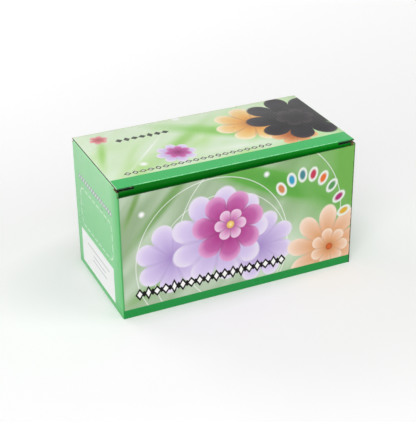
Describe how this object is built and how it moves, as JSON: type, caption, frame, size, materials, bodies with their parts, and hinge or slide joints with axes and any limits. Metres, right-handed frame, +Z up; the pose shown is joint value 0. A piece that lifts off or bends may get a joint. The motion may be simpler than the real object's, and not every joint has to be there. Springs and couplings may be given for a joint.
{
  "type": "boxed nail art stamping machine",
  "caption": "Tuck-end corrugated carton with a hinged lid and flaps, holding a hand-worked nail stamping machine with a sliding dome carriage, roller, press handle and button.",
  "frame": {"origin": "centre of the closed carton's base, on the surface that it stands on", "axes": "+Z up, +X along the carton's length to the right of its front panel, +Y to the back; the front panel faces -Y"},
  "size_m": [0.2201, 0.112, 0.123],
  "materials": {
    "board": "printed E-flute corrugated board, satin coating, brown inside",
    "insert_board": "plain brown corrugated board",
    "label_paper": "matt self-adhesive paper",
    "lilac_abs": "moulded ABS, lilac",
    "violet_abs": "moulded ABS, deeper lilac",
    "pale_abs": "moulded ABS, pale lilac",
    "magenta_abs": "moulded ABS, magenta, polished",
    "pink_abs": "moulded ABS, pink",
    "black_rubber": "moulded rubber",
    "pink_rubber": "soft TPE",
    "white_rubber": "silicone rubber, ground",
    "zinc_steel": "zinc plated steel",
    "polished_steel": "ground steel rod",
    "spring_steel": "drawn spring wire",
    "engraved_steel": "brushed and etched stainless steel",
    "grey_aluminium": "bent and drilled sheet",
    "bronze": "sintered bronze"
  },
  "bodies": {
    "root": {"front_panel": "board", "back_panel": "board", "left_panel": "board", "right_panel": "board", "glue_flap": "board", "bottom_panel": "board", "bottom_tuck_flap": "board", "bottom_dust_flap_left": "board", "bottom_dust_flap_right": "board", "side_label": "label_paper", "insert_tray": "insert_board"},
    "lid": {"lid_panel": "board"},
    "tuck": {"tuck_flap": "board"},
    "dust_left": {"dust_flap_left": "board"},
    "dust_right": {"dust_flap_right": "board"},
    "machine": {"base_shell": "lilac_abs", "base_cover": "lilac_abs", "rubber_feet": "black_rubber", "cover_screws": "zinc_steel", "front_grip": "violet_abs", "hump_shell": "lilac_abs", "plate_bed": "pale_abs", "pattern_plate": "engraved_steel", "plate_rail": "violet_abs", "guide_rods": "polished_steel", "end_bumpers": "black_rubber", "finger_springs": "spring_steel"},
    "latch": {"latch_knob": "violet_abs"},
    "finger_rest": {"finger_platform": "pale_abs", "finger_pad": "pink_rubber"},
    "carriage": {"carriage_frame": "grey_aluminium", "rod_bushes": "bronze", "dome_cover": "magenta_abs", "dome_screws": "zinc_steel", "grip_bar": "lilac_abs", "press_springs": "spring_steel", "button_spring": "spring_steel"},
    "roller": {"roller_sleeve": "white_rubber", "roller_core": "pale_abs", "roller_axle": "polished_steel", "axle_clips": "spring_steel"},
    "press": {"press_handle": "lilac_abs", "press_stems": "polished_steel", "scraper_holder": "violet_abs", "scraper_blade": "engraved_steel"},
    "button": {"round_button": "pink_abs"}
  },
  "joints": [
    {"name": "lid_hinge", "type": "hinge", "parent": "root", "child": "lid", "pos_m": [0, 0.056, 0.123], "axis": [-1, 0, 0], "range_deg": [0, 135]},
    {"name": "tuck_fold", "type": "hinge", "parent": "lid", "child": "tuck", "pos_m": [0, -0.0542, 0.123], "axis": [-1, 0, 0], "range_deg": [0, 102]},
    {"name": "dust_fold_left", "type": "hinge", "parent": "root", "child": "dust_left", "pos_m": [-0.11, 0, 0.1212], "axis": [0, -1, 0], "range_deg": [0, 109]},
    {"name": "dust_fold_right", "type": "hinge", "parent": "root", "child": "dust_right", "pos_m": [0.11, 0, 0.1212], "axis": [0, 1, 0], "range_deg": [0, 109]},
    {"name": "machine_lift", "type": "slide", "parent": "root", "child": "machine", "axis": [0, 0, 1], "range_m": [0, 0.123]},
    {"name": "latch_turn", "type": "hinge", "parent": "machine", "child": "latch", "pos_m": [-0.0785, -0.029, 0.0449], "axis": [0, 0, 1], "range_deg": [0, 90]},
    {"name": "finger_rest_press", "type": "slide", "parent": "machine", "child": "finger_rest", "axis": [0, 0, -1], "range_m": [0, 0.002], "stiffness_N_per_m": 250, "springref_m": -0.003, "deforming": ["finger_springs"]},
    {"name": "carriage_slide", "type": "slide", "parent": "machine", "child": "carriage", "axis": [-1, 0, 0], "range_m": [0, 0.084]},
    {"name": "roller_spin", "type": "hinge", "parent": "carriage", "child": "roller", "pos_m": [0.0345, 0, 0.0592], "axis": [0, -1, 0], "range_deg": [0, 345]},
    {"name": "handle_press", "type": "slide", "parent": "carriage", "child": "press", "axis": [0, 0, -1], "range_m": [0, 0.0025], "stiffness_N_per_m": 400, "springref_m": -0.003, "deforming": ["press_springs"]},
    {"name": "button_press", "type": "slide", "parent": "carriage", "child": "button", "axis": [0, 1, 0], "range_m": [0, 0.002], "stiffness_N_per_m": 300, "springref_m": -0.002, "deforming": ["button_spring"]}
  ],
  "couplings": [
    {"joint": "tuck_fold", "follows": "lid_hinge", "ratio": 0.75},
    {"joint": "dust_fold_left", "follows": "lid_hinge", "ratio": 0.8},
    {"joint": "dust_fold_right", "follows": "lid_hinge", "ratio": 0.8},
    {"joint": "machine_lift", "follows": "lid_hinge", "m_per_rad": 0.052},
    {"joint": "roller_spin", "follows": "carriage_slide", "rad_per_m": 71.429}
  ]
}
